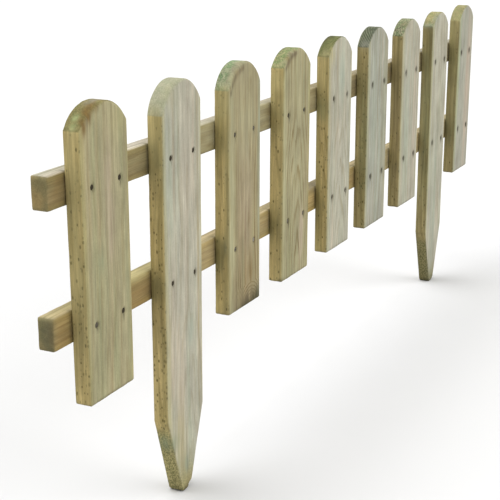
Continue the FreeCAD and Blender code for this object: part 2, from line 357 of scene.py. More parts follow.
set_look("picket_5", dict(
    face=SILVER, side=OLIVE, end=FERN, crown=(20, 21), ease=2, slim=2.5,
    pith=(4, 26), arch=(0, 150, 0.12), rings=4.6, contrast=0.42, hatch=0.85, mottle=0.5,
    saw=(0.7, -1.5), specks=0.36, damp=0.45, iron=1.15, lean=(-1.5, -1.5, 1.4),
), (
    ((-34, -3, 239), (6, 6, 6), YELLOW_GREEN, 0.7), ((-10, 7, 253), (20, 4, 8), DIRT, 0.6),
    on_face(4, 205, 9, 26, BLUE_GREEN, 0.5), on_face(-26, 235, 6, 12, YELLOW, 0.45),
    # The yellow patch on the left side at the upper rail's top is painted light, bounced up off the
    # rail.
    on_face(-10, 150, 6, 50, PINK, 0.35), on_side(215, 25, YELLOW, 0.3), on_side(172, 12, MOSS, 0.5),
))
set_look("picket_6", dict(
    face=GREY_GREEN, side=DARK_OLIVE, end=TEAL, crown=(22, 20), ease=2,
    pith=(26, 52), arch=(0, 60, 0.04), rings=4.6, contrast=0.5, hatch=0.4, mottle=0.4,
    saw=(0.9, 0.9), specks=0.5, damp=0.3, iron=1.3, lean=(-2, -2.5, 1.2),
), (
    ((-34, -3, 237), (5, 6, 6), GREY_GREEN, 0.4), on_face(-14, 150, 12, 90, BLUE_GREEN, 0.3),
    on_face(28, 120, 6, 130, STRAW, 0.35), ((LEFT, -3, 120), (3, 6, 60), MOSS, 0.4),
))
set_look("picket_7", dict(
    face=SILVER, side=DARK_OLIVE, end=SLATE, crown=(20, 20), ease=2,
    pith=(-42, 58), arch=(0, 60, 0.03), rings=6.0, contrast=0.32, hatch=0.1, mottle=1.5,
    specks=0.2, damp=0.25, iron=1.4, lean=(-0.5, -2.5, 0.8),
), (
    ((-18, -4, 248), (8, 5, 5), YELLOW_GREEN, 0.6), on_face(20, 110, 8, 120, PINK, 0.35),
    on_face(-10, 150, 14, 90, BLUE_GREEN, 0.3), ((LEFT, -1, 130), (3, 6, 110), UMBER, 0.35),
))
set_look("stake_8", dict(
    face=SILVER, side=DARK_OLIVE, end=YELLOW_GREEN, foot=SPECKLED_DARK,
    crown=(18, 20), ease=3, slim=2,
    pith=(12, 70), arch=(0, 120, 0.05), rings=6.0, contrast=0.32, hatch=0.2, mottle=0.5,
    saw=(0.15, 0.9), specks=0.2, damp=0.15, iron=1.5,
    lean=(-0.5, -2.5, 0), uneven=0, tip=(-1.2, 1.5),
), (
    ((-34, 0, 388), (5, 9, 4), BLUE_GREEN, 0.4), ((-20, -6, 399), (16, 3, 8), BLUE_GREEN, 0.35),
    ((-22, 2, 397), (10, 5, 7), YELLOW, 0.4), on_face(-6, 120, 12, 100, BLUE_GREEN, 0.35),
    on_side(250, 120, SAGE, 0.3), on_face(2, 2, 14, 8, DIRT, 0.4, 8),
))
set_look("picket_9", dict(
    face=GREY_GREEN, side=DARK_OLIVE, end=YELLOW_GREEN, crown=(21, 20), ease=3,
    pith=(45, 50), arch=(0, 60, 0.03), rings=5.5, contrast=0.32, hatch=0.1, mottle=0.3,
    specks=0.12, damp=0.4, iron=1.5, lean=(-3, 0, 0),
), (
    on_face(18, 120, 12, 120, PINK, 0.55), on_face(-31, 150, 5, 120, FRESH_GREEN, 0.3),
    # The yellow patch on the left side at the upper rail's top is painted light, bounced up off the
    # rail.
    on_side(225, 25, YELLOW, 0.6), on_side(90, 60, SLATE, 0.3),
))
# The rail's cream top against its brown front is partly its own tone, partly painted light on the top
# and painted shade on the front.
set_look("upper_rail", dict(
    face=BROWN, side=CREAM, end=BROWN, specks=0,
    pith=(7, 30), arch=(0, 1100, 0.004), rings=4.6, contrast=0.45, mottle=0.3,
), (
    on_face(2, 370, 20, 170, STRAW, 0.85), on_face(0, 1020, 20, 330, UMBER, 0.75),
    on_face(0, 637, 20, 50, UMBER, 0.25), on_top(590, 120, TAN, 0.85), on_top(500, 55, BROWN, 0.3),
    on_top(640, 50, BROWN, 0.4), on_face(-8, 150, 5, 14, DIRT, 0.4), on_face(5, 410, 4, 12, RUST, 0.5),
    ((-6, 3, 0), (8, 7, 5), ORANGE, 0.7), ((2, 0, 0), (14, 9, 4), CHESTNUT, 0.2),
    on_face(2, 14, 10, 10, CHESTNUT, 0.7),
))
# The rail's pale top against its orange front is partly its own tone, partly painted light on the top
# and painted shade on the front.
set_look("lower_rail", dict(
    face=ORANGE, side=BUTTER, end=BROWN, specks=0,
    pith=(-24, 26), arch=(0, 1100, 0.004), rings=4.2, contrast=0.5, mottle=0.25,
), (
    on_face(0, 120, 20, 45, CHESTNUT, 0.65), on_face(0, 320, 20, 110, TAN, 0.5),
    on_face(0, 637, 20, 45, CHESTNUT, 0.38), on_face(0, 765, 20, 60, STRAW, 0.4),
    on_face(0, 850, 20, 150, TAN, 0.5), on_face(0, 1020, 20, 60, BROWN, 0.7),
    on_top(100, 90, YELLOW, 0.7), on_top(509, 60, DRAB, 0.85), on_top(509, 60, BROWN, 0.35),
    ((0, -3, 0), (16, 8, 5), TEAL, 0.6), on_face(0, 12, 14, 12, CHESTNUT, 0.6),
))


def lattice_values(cells, seed):
    """A repeatable random number from -1 to 1 for each whole-numbered cell."""
    mixed = cells[:, 0] * 73856093 ^ cells[:, 1] * 19349663 ^ cells[:, 2] * 83492791
    mixed = (mixed ^ (seed * 2654435761)) & 0xFFFFFFFF
    mixed = ((mixed ^ (mixed >> 15)) * 2246822519) & 0xFFFFFFFF
    mixed = ((mixed ^ (mixed >> 13)) * 3266489917) & 0xFFFFFFFF
    return (mixed ^ (mixed >> 16)) / 2147483647.5 - 1


def noise(points, period, seed):
    """Smooth noise from -1 to 1 at each point. period is one length, or one for each axis."""
    scaled = points / np.asarray(period)
    cell = np.floor(scaled).astype(np.int64)
    part = scaled - cell
    part = part * part * (3 - 2 * part)
    total = np.zeros(len(points))
    for corner in np.ndindex(2, 2, 2):
        weight = np.prod(np.where(corner, part, 1 - part), axis=1)
        total += weight * lattice_values(cell + corner, seed)
    return total


def smooth_step(low, high, value):
    """0 below low, 1 above high and smooth between."""
    share = np.clip((value - low) / (high - low), 0, 1)
    return share * share * (3 - 2 * share)


def spaced(low, high, step, fine=(), reach=0.0, fine_step=STEP_FINE):
    """Positions from low to high, a step apart, or a fine step within reach of a fine position."""
    places = [low]
    while places[-1] < high:
        near = any(abs(places[-1] - f) < reach for f in fine)
        places.append(places[-1] + (fine_step if near else step))
    places = np.array(places)
    return low + (places - low) * (high - low) / (places[-1] - low)


class Board:
    """A board in its own frame: across its face, depth from its middle, and along its grain.

    bottom and top give, for each place across, where the inset face ends along the board.
    """

    def __init__(self, depth, bottom, top, columns, rows):
        self.half_depth = depth / 2
        self.columns, self.rows = len(columns), len(rows)
        low = bottom(columns)[:, None]
        high = top(columns)[:, None]
        along = low + (high - low) * rows[None, :]
        across = np.repeat(columns[:, None], len(rows), axis=1)
        self.face = np.stack([across, along], axis=2)
        self.edge = self.perimeter()

    def perimeter(self):
        """Indices of the face grid round its edge, anticlockwise from the lower left."""
        last_column, last_row = self.columns - 1, self.rows - 1
        lower = [(i, 0) for i in range(last_column)]
        right = [(last_column, j) for j in range(last_row)]
        upper = [(i, last_row) for i in range(last_column, 0, -1)]
        left = [(0, j) for j in range(last_row, 0, -1)]
        return np.array(lower + right + upper + left)

    def end_distance(self):
        """Distance round the edge from the nearest corner: above 0 on the ends, below 0 on the sides."""
        points = self.face[self.edge[:, 0], self.edge[:, 1]]
        run = np.linalg.norm(np.roll(points, -1, axis=0) - points, axis=1)
        place = np.concatenate([[0], np.cumsum(run)])
        wide, tall = self.columns - 1, self.rows - 1
        corners = np.array([0, wide, wide + tall, 2 * wide + tall, len(self.edge)])
        nearest = np.min(np.abs(place[:-1, None] - place[corners][None, :]), axis=1)
        number = np.arange(len(self.edge))
        on_end = (number <= wide) | ((number >= wide + tall) & (number <= 2 * wide + tall))
        return np.where(on_end, nearest, -nearest)

    def rings(self):
        """How far out of the inset face, and how deep, each ring of the rim lies."""
        turn = np.linspace(0, math.pi / 2, ARRIS_STEPS + 1)[1:]
        out = list(ARRIS_RADIUS * np.sin(turn))
        deep = list(ARRIS_RADIUS * (1 - np.cos(turn)) - self.half_depth)
        flat = 2 * (self.half_depth - ARRIS_RADIUS)
        steps = max(2, round(flat / STEP_RIM))
        for step in range(1, steps):
            out.append(ARRIS_RADIUS)
            deep.append(ARRIS_RADIUS - self.half_depth + flat * step / steps)
        for index in range(ARRIS_STEPS - 1, -1, -1):
            out.append(out[index])
            deep.append(-deep[index])
        return out, deep

    def points(self):
        """Every point, with how far it is round the arris and its distance past the ends' corners."""
        edge, grid = self.edge, self.columns * self.rows
        inset = self.face[edge[:, 0], edge[:, 1]]
        tangent = np.roll(inset, -1, axis=0) - np.roll(inset, 1, axis=0)
        outward = np.stack([tangent[:, 1], -tangent[:, 0]], axis=1)
        outward /= np.linalg.norm(outward, axis=1)[:, None]
        outs, deeps = self.rings()
        flat = self.face.reshape(-1, 2)
        layers = [(flat, -self.half_depth), (flat, self.half_depth)]
        layers += [(inset + outward * out, deep) for out, deep in zip(outs, deeps)]
        points = np.concatenate([np.insert(place, 1, deep, axis=1) for place, deep in layers])
        shares = [0.0, 0.0] + [(out / ARRIS_RADIUS) ** 2 for out in outs]
        rim = np.repeat(shares, [len(place) for place, _ in layers])
        distance = self.end_distance()
        end = np.zeros(len(points))
        border = edge[:, 0] * self.rows + edge[:, 1]
        end[border] = distance
        end[grid + border] = distance
        end[2 * grid:] = np.tile(distance, len(outs))
        return points, rim, end

    def quads(self):
        """Faces of the front, the back and the rim, all facing out."""
        rows, grid, around = self.rows, self.columns * self.rows, len(self.edge)
        i, j = np.meshgrid(np.arange(self.columns - 1), np.arange(rows - 1), indexing="ij")
        corner = (i * rows + j).ravel()
        front = np.stack([corner, corner + rows, corner + rows + 1, corner + 1], axis=1)
        border = self.edge[:, 0] * rows + self.edge[:, 1]
        loops = [border]
        loops += [2 * grid + ring * around + np.arange(around) for ring in range(len(self.rings()[0]))]
        loops.append(border + grid)
        strips = [
            np.stack([near, far, np.roll(far, -1), np.roll(near, -1)], axis=1)
            for near, far in zip(loops[:-1], loops[1:])
        ]
        return np.concatenate([front, front[:, ::-1] + grid] + strips)


def crown_top(half_width, height, rises):
    """Where the inset face of a round-topped board ends above each place across.

    rises are those of the left-hand and right-hand half of the crown above its spring line.
    """
    def top(across):
        rise = np.where(across < 0, *rises)
        radius = (half_width**2 + rise**2) / (2 * rise)
        return height - radius + np.sqrt((radius - ARRIS_RADIUS) ** 2 - across**2)

    return top


def taper_bottom(half_width, lengths):
    """Where the inset face of a stake ends below each place across: a flat tip between two tapers.

    lengths are those of the left-hand and right-hand taper.
    """
    def bottom(across):
        length = np.where(across < 0, *lengths)
        slope = length / (half_width - TIP_WIDTH / 2)
        lift = ARRIS_RADIUS * np.sqrt(1 + slope**2)
        return np.maximum(ARRIS_RADIUS, slope * (np.abs(across) - TIP_WIDTH / 2) + lift)

    return bottom


def crown_spokes(points, rises, half_width, height, ease):
    """Each point as seen from the centre of its half of the crown.

    Gives the radius of the crown there, the spoke to the point, and the radius that the front
    edge is sanded to, which fades out to the right and downwards.
    """
    rise = np.where(points[:, 0] < 0, *rises)
    radius = (half_width**2 + rise**2) / (2 * rise)
    spoke = np.stack([points[:, 0], points[:, 2] - (height - radius)], axis=1)
    amount = ease * smooth_step(*SANDED_FROM, points[:, 2] - (height - rise))
    amount *= 1 - SANDED_LESS * smooth_step(*SANDED_UNTIL, points[:, 0])
    return radius, spoke, amount


def sanded(points, half_depth, *crown):
    """Rounds the front edge of a crown."""
    radius, spoke, amount = crown_spokes(points, *crown)
    reach = np.linalg.norm(spoke, axis=1)
    gap = np.stack([radius - reach, points[:, 1] + half_depth], axis=1) - amount[:, None]
    far = np.linalg.norm(gap, axis=1)
    outside = (gap < 0).all(axis=1) & (far > amount) & (amount > 0)
    gap = gap * (amount / np.maximum(far, 1e-9))[:, None] + amount[:, None]
    shorter = spoke * (1 - (radius - gap[:, 0]) / np.maximum(reach, 1e-9))[:, None]
    moved = points.copy()
    moved[outside, 1] = gap[outside, 1] - half_depth
    moved[outside, 0] -= shorter[outside, 0]
    moved[outside, 2] -= shorter[outside, 1]
    return moved


def bared(points, half_depth, *crown):
    """How much end grain shows on the front face, along the sanded edge of a crown."""
    radius, spoke, amount = crown_spokes(points, *crown)
    inward = (radius - np.linalg.norm(spoke, axis=1)) / np.maximum(amount, 0.1 * MM)
    front = points[:, 1] < ARRIS_RADIUS - half_depth
    return np.where(front & (amount > 1 * MM), 1 - smooth_step(0.1, 1.1, inward), 0)


def square_end(level):
    """A straight sawn end."""
    return lambda across: np.full(len(across), level)


def timber_relief(points, normals, rim, end, seed):
    """Planer waves on the faces, saw roughness on the ends and knocks along the arrises."""
    lift = PLANED_WAVE * noise(points, PLANED_PERIOD, seed)
    sawn = rim * smooth_step(-0.5 * MM, 0.5 * MM, end)
    lift += SAWN_ROUGHNESS * sawn * noise(points, SAWN_PERIOD, seed + 50)
    arris = 4 * rim * (1 - rim)
    knocks = smooth_step(0.0, 0.9, noise(points, KNOCK_PERIOD, seed + 90))
    lift -= ARRIS_WEAR * arris * (0.25 + knocks)
    return points + normals * lift[:, None]


def leaning(points, look, width, height):
    """Narrows a board towards its foot, and moves it as it was nailed on: a little out of true."""
    foot, crown, above = (part * MM for part in look["lean"])
    moved = points.copy()
    share = points[:, 2] / height
    moved[:, 0] *= 1 - look["slim"] * MM / width * (1 - share)
    moved[:, 0] += foot + (crown - foot) * share
    moved[:, 2] += above
    return moved


def nail_distance(points, nails):
    """How far each point is from its nearest nail, and which one that is."""
    gaps = points[:, None, (0, 2)] - np.array(nails)[None]
    reach = np.linalg.norm(gaps, axis=2)
    nearest = np.argmin(reach, axis=1)
    each = np.arange(len(points))
    return reach[each, nearest], gaps[each, nearest], nearest


def nail_dents(points, nails):
    """Pushes the front face in under each nail head, with a crushed slope round it."""
    reach, _, _ = nail_distance(points, nails)
    rim = NAIL_HEAD_RADIUS + DENT_SPARE
    dent = NAIL_DENT * (1 - smooth_step(rim, rim + DENT_SLOPE, reach))
    moved = points.copy()
    moved[:, 1] += np.where(points[:, 1] < 0, dent, 0)
    return moved


def nail_stain(points, nails, iron, seed):
    """How dark the iron stains are: a ring round each head, then a streak below it and a halo."""
    reach, gap, nearest = nail_distance(points, nails)
    chance = np.random.default_rng(seed)
    length = chance.uniform(*STREAK_LENGTHS, len(nails))[nearest]
    strength = iron * chance.uniform(STAIN_LEAST, 1.0, len(nails))[nearest]
    side = chance.uniform(-STREAK_SHIFT, STREAK_SHIFT, len(nails))[nearest]
    ring = 1 - smooth_step(NAIL_HEAD_RADIUS - RING_INSIDE, NAIL_HEAD_RADIUS + RING_OUTSIDE, reach)
    below = -gap[:, 1]
    fade = 1 - smooth_step(0.2, 1.0, below / length)
    streak = np.exp(-(((gap[:, 0] - side) / STREAK_WIDTH) ** 2)) * fade * (below > 0) * strength
    wide, tall = (1.1 + 1.8 * iron) * MM, (2.4 + 0.9 * iron) * MM
    smudge = ((gap[:, 0] - side) / wide) ** 2 + ((gap[:, 1] + 1 * MM) / tall) ** 2
    halo = np.minimum(0.85 * strength * np.exp(-smudge), 0.96)
    on_front = points[:, 1] < 0
    return np.where(on_front, ring, 0), np.where(on_front, np.maximum(streak, halo), 0)


def worn_tip(points, push):
    """Rounds off the right-hand corner of a stake's tip."""
    gap = points[:, (0, 2)] - np.array((TIP_WIDTH / 2, 0))
    share = 1 - smooth_step(0, TIP_WEAR_REACH, np.linalg.norm(gap, axis=1))
    moved = points.copy()
    moved[:, (0, 2)] += share[:, None] * push
    return moved


def tinted(points, patches, seed):
    """The colour and strength of the board's stains, painted light and painted shade at each point."""
    colour = np.zeros((len(points), 4))
    ragged = 0.45 * noise(points, RAGGED_COARSE, seed)
    ragged += 0.25 * noise(points, RAGGED_FINE, seed + 7)
    for place, reach, tone, strength in patches:
        gap = ((points / MM - np.array(place)) / np.array(reach)) ** 2
        share = strength * np.clip(1.25 * np.exp(-gap.sum(axis=1)) * (1 + ragged), 0, 1)
        keep = colour[:, 3] * (1 - share)
        total = np.maximum(keep + share, 1e-6)
        mixed = colour[:, :3] * keep[:, None] + np.array(tone) * share[:, None]
        colour[:, :3] = mixed / total[:, None]
        colour[:, 3] = keep + share
    return colour


def dark_foot_and_rail_shade(foot, strength):
    """Where a picket is dark: a line along its foot, and painted shade on its sides beside each rail."""
    # A dark line along the foot's front edge.
    zones = [((0, FRONT, 0), (40, 12, 2), DIRT, 0.5)]
    # Painted shade on both sides beside each rail, where the rail cuts off light from above and behind.
    for side in (LEFT, -LEFT):
        for level in (LOWER_LEVEL, UPPER_LEVEL):
            zones.append(((side, 2, foot + level - 3), (4, 9, 19), RAIL_SHADE_TONE, strength))
    return zones


def crown_crack(rise, inset, half_width, height):
    """A dark line on the face, along the left half of the crown and an inset below its edge."""
    radius = (half_width**2 + rise**2) / (2 * rise)
    line = []
    for across in np.linspace(-0.85 * half_width, -0.1 * half_width, 9 if inset else 0):
        along = height - radius + math.sqrt((radius - inset) ** 2 - across**2)
        line.append(((across, FRONT + 1, along), (1.8, 3, 3), UMBER, 0.75))
    return line


def corner_dirt_and_shade():
    """Dirt and painted shade on the front of a rail, in the corner that it makes with each side of each
    picket.
    """
    stains = []
    for picket in PICKETS:
        low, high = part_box(picket)
        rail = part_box(RAILS[0])[0].x
        for edge in (low.x, high.x):
            stains.append(on_face(0, (edge - rail) / MM, 40, 2.4, DIRT, 0.65))
    return stains


def add(name, data):
    """A new object in the scene."""
    piece = bpy.data.objects.new(name, data)
    bpy.context.scene.collection.objects.link(piece)
    return piece


def make_board(name, board, origin, half_width, patches, shape, bare=None, stain=None):
    """Turns a board's points into the piece that stands for its node."""
    points, rim, end = board.points()
    mesh = bpy.data.meshes.new(name + "_board")
    mesh.from_pydata(points.tolist(), [], board.quads().tolist())
    normals = np.empty(points.size)
    mesh.vertex_normals.foreach_get("vector", normals)
    seed = sorted(LOOKS).index(name)
    tint = tinted(points, patches, seed)
    none = np.zeros(len(points))
    share = bare(points) if bare else none
    points = shape(points, normals.reshape(-1, 3), rim, end, seed)
    mark, halo = stain(points) if stain else (none, none)
    if name in RAILS:
        points = points[:, ::-1]
        mesh.flip_normals()
    mesh.vertices.foreach_set("co", (points + np.array(origin)).ravel())
    rim, end = np.maximum(rim, share), np.where(share > 0, 2 * MM * share, end)
    for label, values in (("rim", rim), ("end_distance", end), ("mark", mark), ("halo", halo)):
        mesh.attributes.new(label, "FLOAT", "POINT").data.foreach_set("value", values)
    colours = mesh.attributes.new("tint", "FLOAT_COLOR", "POINT")
    colours.data.foreach_set("color", tint.ravel())
    mesh.shade_smooth()
    mesh.materials.append(timber(name, origin, half_width))
    piece = add(name + "_board", mesh)
    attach(piece, "root")
    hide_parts(name)


def picket_nails(name):
    """Where the four nails go through a picket's face, across it and above its foot."""
    low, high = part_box(name)
    across = (high.x - low.x) / 2 - NAIL_INSET
    levels = [sum(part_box(rail), Vector()).z / 2 - low.z for rail in RAILS]
    return [(side * across, level) for level in levels for side in (-1, 1)]


def make_picket(name):
    """A picket or stake, with dents where its nails are driven in."""
    look = LOOKS[name]
    low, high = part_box(name)
    centre = (low + high) / 2
    half_width, height = (high.x - low.x) / 2, high.z - low.z
    nails = picket_nails(name)
    is_stake = name.startswith("stake_")
    face = half_width - ARRIS_RADIUS
    columns = spaced(-face, face, STEP_ACROSS, (-face, face, nails[0][0], nails[1][0]), FINE_ACROSS)
    levels = [along / height for _, along in nails]
    rows = spaced(0, 1, STEP_ALONG / height, levels, FINE_ALONG / height, STEP_FINE / height)
    if is_stake:
        bottom = taper_bottom(half_width, (TAPER_LENGTH, TAPER_LENGTH - look["uneven"] * MM))
    else:
        bottom = square_end(ARRIS_RADIUS)
    rises = [rise * MM for rise in look["crown"]]
    board = Board(high.y - low.y, bottom, crown_top(half_width, height, rises), columns, rows)
    spring = height - min(rises)
    crown = (high.y - low.y) / 2, rises, half_width, height, look["ease"] * MM

    def shape(points, normals, rim, end, seed):
        eased = 4 * rim * (1 - rim) * smooth_step(spring - 2 * MM, spring + 4 * MM, points[:, 2])
        eased *= 1 - smooth_step(1 * MM, 4 * MM, crown_spokes(points, *crown[1:])[2])
        points = sanded(points, *crown)
        points = timber_relief(points, normals, rim, end, seed)
        points = points - normals * (CROWN_WEAR * eased)[:, None]
        if is_stake:
            points = worn_tip(points, np.array(look["tip"]) * MM)
        points = leaning(points, look, 2 * half_width, height)
        return nail_dents(points, nails)

    def bare(points):
        return bared(points, *crown)

    def stain(points):
        return nail_stain(points, nails, look["iron"], int(name[-1]))

    patches = dark_foot_and_rail_shade(STAKE_DROP * is_stake, look["damp"]) + list(look["patches"])
    patches += crown_crack(look["crown"][0], look["crack"], half_width / MM, height / MM)
    origin = centre.x, centre.y, low.z
    make_board(name, board, origin, half_width, patches, shape, bare, stain)


def make_rail(name):
    """A rail, which lies along X."""
    low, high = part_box(name)
    centre = (low + high) / 2
    half_height, length = (high.z - low.z) / 2, high.x - low.x
    face = half_height - ARRIS_RADIUS
    columns = spaced(-face, face, STEP_ACROSS)
    rows = spaced(0, 1, STEP_ALONG / length)
    ends = square_end(ARRIS_RADIUS), square_end(length - ARRIS_RADIUS)
    board = Board(high.y - low.y, *ends, columns, rows)

    def shape(points, normals, rim, end, seed):
        points = timber_relief(points, normals, rim, end, seed)
        points[:, 0] += RAIL_SPARE * (points[:, 0] > 0) * points[:, 0] / half_height
        return points

    patches = corner_dirt_and_shade() + list(LOOKS[name]["patches"])
    origin = low.x, centre.y, centre.z
    make_board(name, board, origin, half_height, patches, shape)


def make_nails(node, finish):
    """The four nails of a picket: hammered heads on ringed shanks, each a little askew."""
    low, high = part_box(node)
    length = high.y - low.y
    head, shank = NAIL_HEAD_RADIUS, NAIL_SHANK_RADIUS
    outline = [(0.35 * head, 0.0), (0.75 * head, 0.02 * MM), (head - 0.3 * MM, 0.07 * MM)]
    outline += [(head - 0.08 * MM, 0.2 * MM), (head, 0.42 * MM), (head, 0.75 * MM)]
    outline += [(0.85 * head, 0.95 * MM), (shank + 0.3 * MM, 1.15 * MM), (shank, 1.5 * MM)]
    for ring in range(NAIL_GROOVES):
        depth = GROOVE_START + GROOVE_PITCH * ring
        outline += [(shank, depth), (shank - GROOVE_DEPTH, depth + 0.4 * MM)]
    outline += [(shank, length - 3 * MM), (0.25 * MM, length)]
    radius, depth = np.array(outline).T
    turn = np.linspace(0, 2 * math.pi, NAIL_SEGMENTS, endpoint=False)
    chance = np.random.default_rng(int(node[-1]))
    points, faces, bright = [], [], []
    for x in (low.x + head, high.x - head):
        for z in (low.z + head, high.z - head):
            tilt = chance.uniform(-NAIL_TILT, NAIL_TILT, 2)
            flat = chance.uniform(0.0, HEAD_UNEVENNESS, (len(radius), NAIL_SEGMENTS))
            flat[3:] = 0
            across = radius[:, None] * np.cos(turn)
            along = radius[:, None] * np.sin(turn)
            askew = (across * tilt[0] + along * tilt[1]) * (depth < 2 * MM)[:, None]
            sunk = depth[:, None] + flat + askew
            first = len(points)
            place = np.stack([x + across, low.y + sunk, z + along], axis=2).reshape(-1, 3)
            points.extend(place.tolist())
            # How strong the painted glint on this head is.
            shine = GLINTING_HEADS.get(node, (0, 0, 0, 0))[len(bright) // len(place)]
            bright.extend([shine] * len(place))
            end = first + (len(radius) - 1) * NAIL_SEGMENTS
            for here in range(first, end, NAIL_SEGMENTS):
                below = here + NAIL_SEGMENTS
                for step in range(NAIL_SEGMENTS):
                    after = (step + 1) % NAIL_SEGMENTS
                    faces.append((here + step, below + step, below + after, here + after))
            faces.append(tuple(range(first, first + NAIL_SEGMENTS)))
            faces.append(tuple(range(end + NAIL_SEGMENTS - 1, end - 1, -1)))
    mesh = bpy.data.meshes.new(node + "_driven")
    mesh.from_pydata(points, [], faces)
    mesh.attributes.new("bright", "FLOAT", "POINT").data.foreach_set("value", bright)
    mesh.shade_smooth()
    mesh.materials.append(finish)
    piece = add(node + "_driven", mesh)
    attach(piece, "root")
    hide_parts(node)


class Tree:
    """The node tree of a material or a world, with short calls for its nodes."""

    def __init__(self, owner):
        self.owner = owner
        owner.use_nodes = True
        self.nodes = owner.node_tree.nodes

    def put(self, kind, inputs, **settings):
        """A shader node with its settings. An input is a value or another node's output."""
        node = self.nodes.new("ShaderNode" + kind)
        for key, value in settings.items():
            setattr(node, key, value)
        for key, value in inputs.items():
            self.feed(node.inputs[key], value)
        return node

    def feed(self, socket, value):
        if isinstance(value, bpy.types.NodeSocket):
            self.owner.node_tree.links.new(value, socket)
        else:
            socket.default_value = value

    def shade(self, colour, roughness, specular, bump=None):
        """Feeds the material's own shader, and gives the material."""
        inputs = self.nodes["Principled BSDF"].inputs
        self.feed(inputs["Base Color"], colour)
        self.feed(inputs["Roughness"], roughness)
        inputs["Specular IOR Level"].default_value = specular
        if bump:
            self.feed(inputs["Normal"], self.put("Bump", bump).outputs[0])
        return self.owner

    def math(self, operation, *values):
        return self.put("Math", dict(enumerate(values)), operation=operation).outputs[0]

    def plus(self, *values):
        return self.math("ADD", *values)

    def minus(self, *values):
        return self.math("SUBTRACT", *values)

    def times(self, *values):
        return self.math("MULTIPLY", *values)

    def vector(self, operation, *values):
        return self.put("VectorMath", dict(enumerate(values)), operation=operation).outputs[0]

    def split(self, place):
        return self.put("SeparateXYZ", {0: place}).outputs

    def channels(self, colour):
        return self.put("SeparateColor", {0: colour}).outputs

    def attribute(self, name, output="Fac"):
        return self.put("Attribute", {}, attribute_name=name).outputs[output]

    def noise(self, name, place, output="Fac"):
        """One of the textures at a place."""
        flow, period, detail, roughness = TEXTURES[name]
        inputs = {"Vector": self.vector("MULTIPLY", place, (1, 1, flow)), "Scale": 1 / period}
        inputs.update({"Detail": detail, "Roughness": roughness})
        return self.put("TexNoise", inputs).outputs[output]

    def swing(self, value, amount):
        """A factor of 1, give or take, from noise about 0.5."""
        return self.plus(1 - amount / 2, self.times(value, amount))

    def band(self, value, low, high):
        """0 at low, 1 at high and smooth between. low may be the larger."""
        inputs = {"Value": value, "From Min": low, "From Max": high}
        if low > high:
            inputs.update({"From Min": high, "From Max": low, "To Min": 1.0, "To Max": 0.0})
        return self.put("MapRange", inputs, interpolation_type="SMOOTHSTEP").outputs[0]

    def blend(self, share, *colours):
        """From the first colour to the second as the share grows from 0 to 1."""
        node = self.put("Mix", {}, data_type="RGBA")
        self.feed(node.inputs[0], share)
        for index, colour in enumerate(colours):
            is_socket = isinstance(colour, bpy.types.NodeSocket)
            self.feed(node.inputs[6 + index], colour if is_socket else (*colour, 1))
        return node.outputs[2]

    def scale_by(self, colour, factor):
        inputs = {0: colour, "Scale": factor}
        return self.put("VectorMath", inputs, operation="SCALE").outputs[0]

    def seen(self):
        """1 where the ray comes from the camera, straight or by way of a mirror or glass."""
        rays = self.put("LightPath", {}).outputs
        seen = self.math("MAXIMUM", rays["Is Camera Ray"], rays["Is Glossy Ray"])
        return self.math("MAXIMUM", seen, rays["Is Transmission Ray"])


def toned(tone, factors):
    """A tone with its channels scaled."""
    return tuple(part * factor for part, factor in zip(tone, factors))


def wood_grain(t, look, origin, seed, lies):
    """The place on a board, upright or lying along X, and the textures of its timber there."""
    place = t.vector("SUBTRACT", t.put("TexCoord", {}).outputs["Object"], origin)
    if lies:
        x, y, z = t.split(place)
        place = t.put("CombineXYZ", {0: z, 1: y, 2: x}).outputs[0]
    wood = SimpleNamespace()
    wood.across, wood.depth, wood.along = t.split(place)
    wood.offset = t.vector("ADD", place, (0, 0, BOARDS_APART * seed))

    # The grain drifts a little sideways on its way along the board.
    drift = t.noise("drift", wood.offset, "Color")
    drift = t.vector("SUBTRACT", drift, (0.5, 0.5, 0.5))
    drift = t.vector("MULTIPLY", drift, (GRAIN_DRIFT, GRAIN_DRIFT, 0))
    grain = t.vector("ADD", wood.offset, drift)

    # Growth rings round the middle of the log, which the face cuts at a slant between two heights.
    low, high, slant = look["arch"]
    low, high = low * MM, high * MM
    climb = {"Value": wood.along, "From Min": low, "From Max": high}
    climb.update({"To Min": slant * (high - low), "To Max": 0.0})
    climb = t.put("MapRange", climb).outputs[0]
    ring_across, ring_depth, _ = t.split(grain)
    pith_across, pith_depth = (part * MM for part in look["pith"])
    x = t.minus(ring_across, pith_across)
    y = t.minus(pith_depth, t.plus(ring_depth, climb))
    radius = t.math("SQRT", t.plus(t.times(x, x), t.times(y, y)))
    uneven = t.times(t.noise("uneven", grain), RING_UNEVENNESS)
    wood.phase = t.plus(t.math("DIVIDE", radius, look["rings"] * MM), uneven)
    ring = t.math("FRACT", wood.phase)
    late = t.minus(t.band(ring, 0.42, 0.86), t.band(ring, 0.89, 0.99))
    wood.late = t.times(late, t.band(t.noise("weight", grain), 0.15, 0.65))

    # Streaks and fibres along the grain, and the spots where the treatment soaked in.
    wood.broad = t.channels(t.noise("broad", grain, "Color"))
    wood.medium, wood.fibre = (t.noise(name, grain) for name in ("medium", "fibre"))
    wood.cloud, wood.fine = (t.noise(name, wood.offset) for name in ("cloud", "fine"))
    return wood


